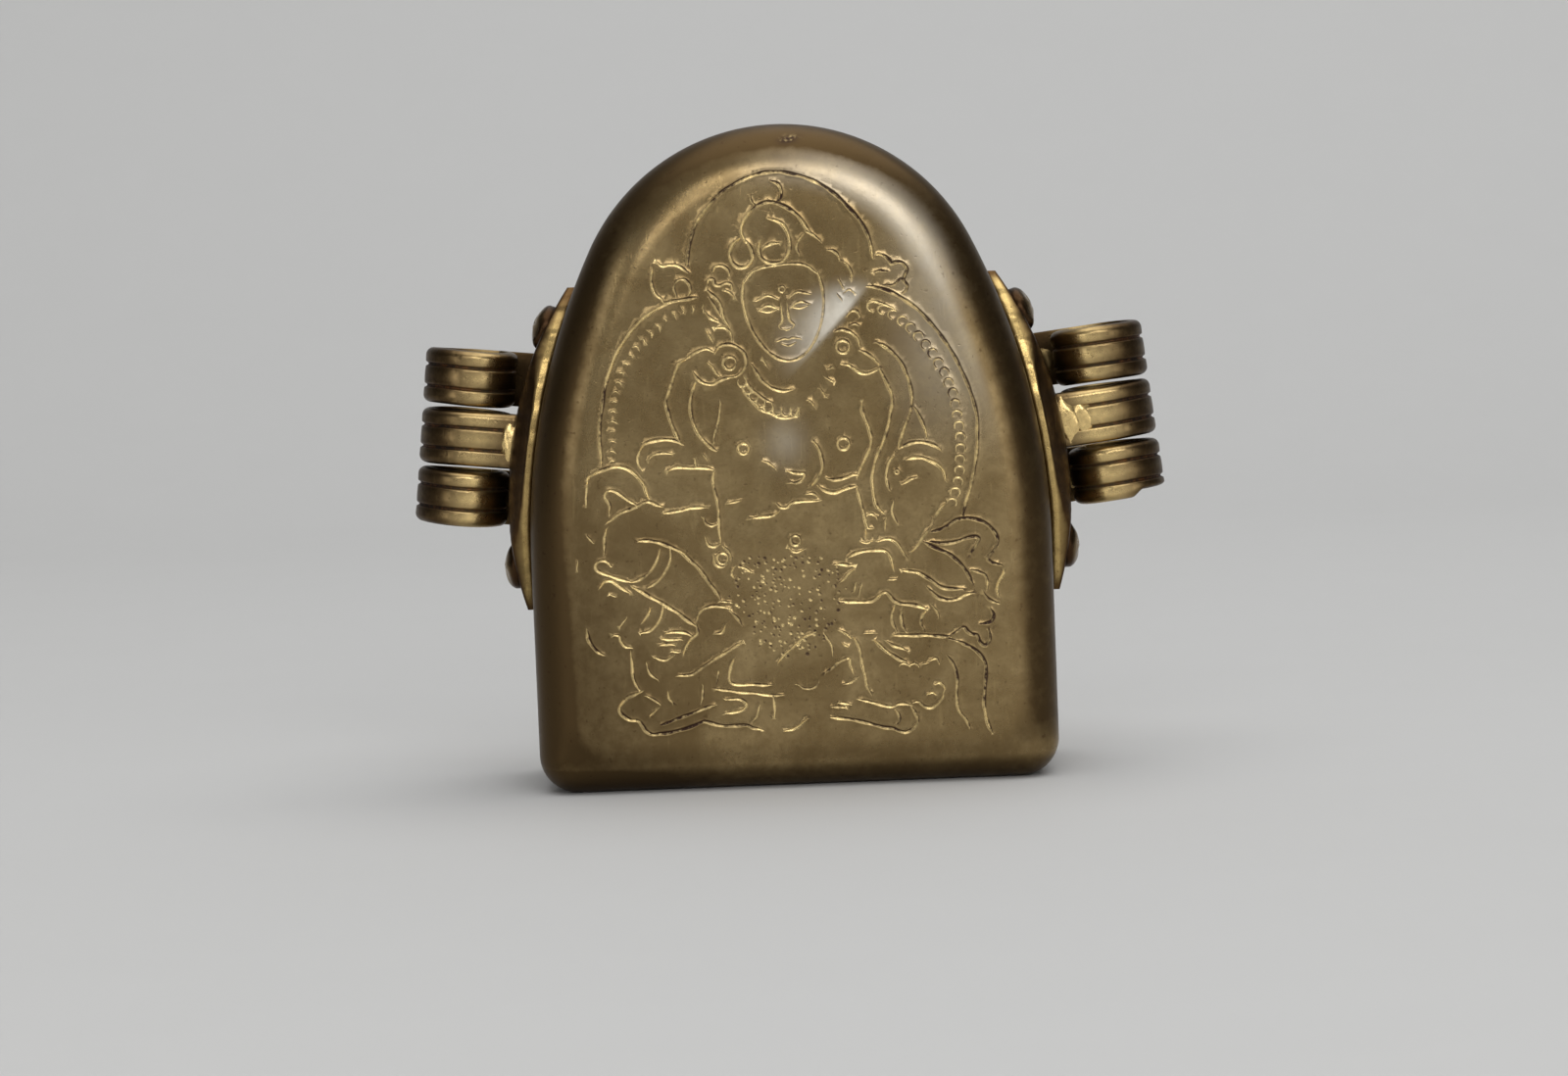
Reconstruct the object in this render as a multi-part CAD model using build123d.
"""Arch-topped brass amulet box: a raised front cover that pulls forward off a shallow rear tray.

Millimetres. +Z is up and the engraved face looks along -Y. The origin is on the ground under the middle
of the box. Three ribbed loops stand on each side: the middle one belongs to the cover, the outer two to the
tray, so a cord threaded down through all three keeps the box shut.
"""

import math
import os

from build123d import *

# Body outline, seen from the front: a flat base, upright sides and a three-centred arch
body_width = 49.0
body_height = 62.0
arch_rise = 40.0
top_arc_radius = 19.85
corner_radius = 3.6

# Depth of the closed box, from the crown of the face to the back
body_depth = 23.0
tray_depth = 6.5
seam_gap = 0.1

# Sheet metal
cover_wall = 0.8
slide_clearance = 0.12
collar_wall = 0.7
back_plate = 0.8
back_edge_bevel = 0.4

# Raised face: the shoulder rolls from wall to face, and the face swells to a low crown
shoulder_width = 4.0
shoulder_depth = 3.6
crown_rise = 0.9
crown_width = 13.5
shoulder_turn = 80.0

# Collar of the tray, soldered into the tray and standing forward into the cover
collar_reach = 9.0
collar_seat = 4.0

# Leaf plates on the cover's sides
leaf_length = 30.6
leaf_above_spring = 10.2
leaf_width = 10.0
leaf_edge = 1.0
leaf_crest = 2.5
leaf_tip = 0.9
leaf_land = 4.8
leaf_rim_margin = 0.9

# Domed rivets through each leaf
rivet_from_tip = 4.3
rivet_head = 4.3
rivet_head_height = 1.1
rivet_flat = 2.0
rivet_shank = 1.5
rivet_recess = 0.1
rivet_bed = 0.6

# Ribbed cord loops
loop_bore = 6.6
loop_band = 1.1
loop_width = 5.25
loop_gap = 0.48
loop_above_spring = 11.55
loop_lean = 6.5
loop_standoff = 0.4
middle_rib = 1.6
groove_width = 0.45
groove_depth = 0.32
solder_fillet = 0.9
strip_slit = 0.3

# Half-leaf plates on the tray's sides, which carry the tray's loops
rear_leaf_length = 24.0
rear_leaf_bulge = 5.4
rear_leaf_thickness = 1.0
rear_leaf_setback = 0.35
foot_margin = 0.3

# Values that follow from the driving dimensions
half_width = body_width / 2
spring = body_height - arch_rise
side_arc_radius = (half_width**2 + arch_rise**2 - 2 * arch_rise * top_arc_radius) / (
    2 * (half_width - top_arc_radius)
)
side_centre = (half_width - side_arc_radius, spring)
top_centre = (0, body_height - top_arc_radius)
junction_angle = math.atan2(top_centre[1] - side_centre[1], top_centre[0] - side_centre[0])

front = -body_depth / 2
back = body_depth / 2
seam = back - tray_depth
rim = seam - seam_gap
shoulder_start = front + crown_rise + shoulder_depth
tray_wall = cover_wall + slide_clearance
collar_outer = tray_wall
collar_inner = collar_outer + collar_wall

leaf_height = spring + leaf_above_spring
leaf_foot = leaf_height - leaf_length / 2
leaf_peak = leaf_height + leaf_length / 2
leaf_centre = rim - leaf_rim_margin - leaf_width / 2
rivet_reach = leaf_length / 2 - rivet_from_tip
loop_height = spring + loop_above_spring
loop_outer = loop_bore / 2 + loop_band
loop_pitch = loop_width + loop_gap
rear_leaf_front = seam + rear_leaf_setback
loop_y = rear_leaf_front + foot_margin - loop_bore / 2


def on_circle(centre, radius, angle):
    """Point at an angle, in radians, on a circle in the front view."""
    return (centre[0] + radius * math.cos(angle), centre[1] + radius * math.sin(angle))


def arch_face(inset, corner, foot):
    """The box's outline, moved inwards by inset, as a face in the front view with its base at height foot."""
    half = half_width - inset
    side_radius = side_arc_radius - inset
    top_radius = top_arc_radius - inset
    base_end = (half - corner, foot)
    side_low = (half, foot + corner)
    side_high = (half, spring)
    joint = on_circle(side_centre, side_radius, junction_angle)
    corner_mid = on_circle((half - corner, foot + corner), corner, -math.pi / 4)
    side_mid = on_circle(side_centre, side_radius, junction_angle / 2)
    top_mid = on_circle(top_centre, top_radius, (junction_angle + math.pi / 2) / 2)
    top = on_circle(top_centre, top_radius, math.pi / 2)
    right = [
        Line((0, foot), base_end),
        ThreePointArc(base_end, corner_mid, side_low),
        Line(side_low, side_high),
        ThreePointArc(side_high, side_mid, joint),
        ThreePointArc(joint, top_mid, top),
    ]
    return make_face(right + [mirror(edge, about=Plane.YZ) for edge in right])


def arch_prism(inset, y_front, y_back):
    """The outline as a block between two depths, with its corners inset like its sides."""
    section = Plane.XZ.offset(-y_back) * arch_face(inset, corner_radius - inset, inset)
    return extrude(section, amount=y_back - y_front)


def dished_block(skin, y_back, roll_steps):
    """The cover's form, moved inwards by skin: straight walls, rolled shoulder and crowned face."""
    sections = []
    for step in range(roll_steps + 1):
        turn = math.radians(shoulder_turn * step / roll_steps)
        inset = skin + (shoulder_width - skin) * (1 - math.cos(turn))
        y = shoulder_start - (shoulder_depth - skin) * math.sin(turn)
        corner = corner_radius - inset
        sections.append(Plane.XZ.offset(-y) * arch_face(inset, corner, inset))
    shoulder = loft(sections, ruled=True)
    return arch_prism(skin, shoulder_start, y_back) + shoulder + crown(skin, sections[-1], inset, y)


def crown(skin, edge, inset, y):
    """The face's low swell above its edge: sides and arch rise to the middle, and so does the base."""
    rise = y - front - skin
    foot = -crown_width
    wide = Plane.XZ.offset(-y) * arch_face(inset, corner_radius, foot)
    narrow = Plane.XZ.offset(rise - y) * arch_face(inset + crown_width, corner_radius, foot)
    slope = Plane(origin=(0, y, inset), x_dir=(1, 0, 0), z_dir=(0, -crown_width, -rise))
    swell = split(loft([wide, narrow], ruled=True), bisect_by=slope, keep=Keep.BOTTOM)
    return swell & extrude(edge, amount=rise)


def wall_frame(height):
    """Plane on the right wall's outer face at a height: x runs outwards, z up along the wall."""
    turn = math.asin(max(0.0, height - spring) / side_arc_radius)
    if height > spring:
        x, z = on_circle(side_centre, side_arc_radius, turn)
    else:
        x, z = half_width, height
    outward = (math.cos(turn), 0, math.sin(turn))
    upward = (-math.sin(turn), 0, math.cos(turn))
    return Plane(origin=(x, leaf_centre, z), x_dir=outward, z_dir=upward)


def wall_strip(section, low, high):
    """A section drawn at the springing, carried down the right wall to low and up its arc to high."""
    placed = Plane.XY.offset(spring) * section
    climb = math.degrees(math.asin((high - spring) / side_arc_radius))
    pivot = Axis((side_centre[0], 0, spring), (0, -1, 0))
    return extrude(placed, amount=low - spring) + revolve(placed, pivot, climb)


def leaf_swell():
    """Arc of the right leaf's outer side in the front view: thin at both tips, full at its middle."""
    points = []
    for height, thickness in ((leaf_foot, leaf_tip), (leaf_height, leaf_crest), (leaf_peak, leaf_tip)):
        climb = max(0.0, height - spring)
        reach = math.sqrt((side_arc_radius + thickness) ** 2 - climb**2)
        points.append((side_centre[0] + reach, height))
    return ThreePointArc(*points)


def leaf_plate():
    """Pointed leaf bent to the right wall: full along its middle, with bevelled edges and thin tips."""
    half = leaf_width / 2
    land = leaf_land / 2
    section = make_face(
        Polyline(
            (half_width, leaf_centre - half),
            (half_width + leaf_edge, leaf_centre - half),
            (half_width + leaf_crest, leaf_centre - land),
            (half_width + leaf_crest, leaf_centre + land),
            (half_width + leaf_edge, leaf_centre + half),
            (half_width, leaf_centre + half),
            close=True,
        )
    )
    tip_low = (leaf_centre, leaf_foot)
    tip_high = (leaf_centre, leaf_peak)
    outline = make_face(
        [
            ThreePointArc(tip_low, (leaf_centre + half, leaf_height), tip_high),
            ThreePointArc(tip_high, (leaf_centre - half, leaf_height), tip_low),
        ]
    )
    swell = leaf_swell()
    inner = Polyline(swell @ 1, (0, leaf_peak), (0, leaf_foot), swell @ 0)
    profile = extrude(Plane.XZ * make_face([swell, inner]), amount=body_depth, both=True)
    strip = wall_strip(section, leaf_foot, leaf_peak)
    return strip & extrude(Plane.YZ * outline, amount=body_width) & profile


def rivet_places():
    """Frames of the right leaf's rivets, with their names."""
    return {
        "upper": wall_frame(leaf_height + rivet_reach),
        "lower": wall_frame(leaf_height - rivet_reach),
    }


def along_rivet(frame):
    """Plane whose normal is the rivet's own axis, pointing outwards."""
    return Plane(origin=frame.origin, x_dir=frame.z_dir, z_dir=frame.x_dir)


def rivet_seat(frame):
    """Thickness of the right leaf where a rivet's axis comes out of it."""
    swell = leaf_swell()
    off_x = frame.origin.X - swell.arc_center.X
    off_z = frame.origin.Z - swell.arc_center.Y
    along = off_x * frame.x_dir.X + off_z * frame.x_dir.Z
    return math.sqrt(along**2 + swell.radius**2 - off_x**2 - off_z**2) - along


def rivet_shaft(frame, end):
    """Square shaft along a rivet's axis, from the middle of its head to a depth of end inside the wall."""
    top = rivet_seat(frame) + rivet_head_height / 2
    length = top + end
    return along_rivet(frame) * Pos(0, 0, top - length / 2) * Box(rivet_shank, rivet_shank, length)


def rivet(frame, leaf):
    """Low domed head bedded on the leaf, with a square shank that ends inside the wall's thickness."""
    seat = rivet_seat(frame)
    base = Circle(rivet_head / 2)
    crest = Pos(0, 0, rivet_head_height) * Circle(rivet_flat / 2)
    skirt = extrude(base, amount=-rivet_bed)
    head = along_rivet(frame) * Pos(0, 0, seat) * (loft([base, crest], ruled=True) + skirt)
    return head - leaf + rivet_shaft(frame, cover_wall - rivet_recess)


def strip_section():
    """The ribbed strip's cross-section: straight on its bore side, with two grooves between three ribs."""
    inside = loop_bore / 2
    half = loop_width / 2
    groove = middle_rib / 2 + groove_width / 2
    points = [(inside, -half), (loop_outer, -half)]
    for middle in (-groove, groove):
        points.append((loop_outer, middle - groove_width / 2))
        points.append((loop_outer - groove_depth, middle))
        points.append((loop_outer, middle + groove_width / 2))
    points += [(loop_outer, half), (inside, half)]
    return make_face(Polyline(*points, close=True))


def loop_frame(step):
    """Frame of a right-hand loop: z is the cord's axis, x points outwards, y to the back."""
    lean = math.radians(loop_lean)
    wall_x = wall_frame(loop_height).origin.X
    centre_x = wall_x + leaf_crest + loop_standoff + loop_outer
    axis = Vector(-math.sin(lean), 0, math.cos(lean))
    outward = (math.cos(lean), 0, math.sin(lean))
    origin = Vector(centre_x, loop_y, loop_height) + axis * (loop_pitch * step)
    return Plane(origin=origin, x_dir=outward, z_dir=axis)


def cord_loop(step, side, carriers):
    """Ribbed strip curled into a ring, with a straight leg soldered to its carriers.

    side is -1 where the leg runs in at the front of the ring and 1 where it runs in at the back.
    """
    section = Rot(0, 0, 90 * side) * (Plane.XZ * strip_section())
    meeting = math.degrees(math.asin(loop_bore / 2 / loop_outer))
    curl = 270 + meeting - math.degrees(strip_slit / loop_outer)
    ring = revolve(section, Axis((0, 0, 0), (0, 0, -side)), curl)
    reach = loop_outer + loop_standoff + leaf_crest + cover_wall / 2
    leg = extrude(section, amount=reach, dir=(-1, 0, 0))
    half = loop_width / 2
    root = (-reach, side * loop_outer)
    toe = (-reach, side * (loop_outer + solder_fillet))
    toe_top = (-loop_outer - loop_standoff, side * (loop_outer + solder_fillet))
    leg_top = (-loop_outer - loop_standoff + solder_fillet, side * loop_outer)
    web = make_face(Polyline(root, toe, toe_top, leg_top, close=True))
    flare = extrude(Pos(0, 0, -half) * web, amount=loop_width)
    placed = loop_frame(step) * (ring + leg + flare)
    for carrier in carriers:
        placed = placed - carrier
    return placed


def rear_leaf():
    """Half leaf bent to the tray's right side, its straight edge along the seam."""
    outer = half_width + rear_leaf_thickness
    section = make_face(
        Polyline(
            (half_width, rear_leaf_front),
            (outer, rear_leaf_front),
            (outer, rear_leaf_front + rear_leaf_bulge),
            (half_width, rear_leaf_front + rear_leaf_bulge),
            close=True,
        )
    )
    low = loop_height - rear_leaf_length / 2
    high = loop_height + rear_leaf_length / 2
    tip_low = (rear_leaf_front, low)
    tip_high = (rear_leaf_front, high)
    bulge = (rear_leaf_front + rear_leaf_bulge, loop_height)
    outline = make_face([Line(tip_high, tip_low), ThreePointArc(tip_low, bulge, tip_high)])
    return wall_strip(section, low, high) & extrude(Plane.YZ * outline, amount=body_width)


def build():
    """Every piece of the box, by node name."""
    leaf_blank = leaf_plate()
    frames = rivet_places()
    leaf = leaf_blank
    shell = dished_block(0, rim, 4) - dished_block(cover_wall, back, 2)
    for frame in frames.values():
        bore = rivet_shaft(frame, 2 * cover_wall)
        leaf = leaf - bore
        shell = shell - bore - mirror(bore, about=Plane.YZ)

    tray_back = back - back_plate
    plate = arch_prism(0, tray_back, back)
    plate = chamfer(plate.faces().sort_by(Axis.Y)[-1].edges(), back_edge_bevel)
    wall = arch_prism(0, seam, tray_back) - arch_prism(tray_wall, front, back)
    sleeve = arch_prism(collar_outer, seam - collar_reach, seam + collar_seat)
    collar = sleeve - arch_prism(collar_inner, front, back)

    pieces = {
        "cover_shell": shell,
        "tray_back_plate": plate,
        "tray_wall": wall,
        "tray_collar": collar,
    }
    rear = rear_leaf()
    right = {
        "cover_leaf": leaf,
        "cover_loop": cord_loop(0, -1, [leaf_blank, shell]),
        "tray_half_leaf": rear,
        "tray_loop_upper": cord_loop(1, 1, [rear, wall]),
        "tray_loop_lower": cord_loop(-1, 1, [rear, wall]),
    }
    for place, frame in frames.items():
        right[f"leaf_rivet_{place}"] = rivet(frame, leaf_blank)
    for name, piece in right.items():
        pieces[f"{name}_right"] = piece
        pieces[f"{name}_left"] = mirror(piece, about=Plane.YZ)
    return pieces


if __name__ == "__main__":
    os.makedirs("parts", exist_ok=True)
    for node, piece in build().items():
        export_step(piece, f"parts/{node}.step")
        print(node, round(piece.volume, 2), "mm3")
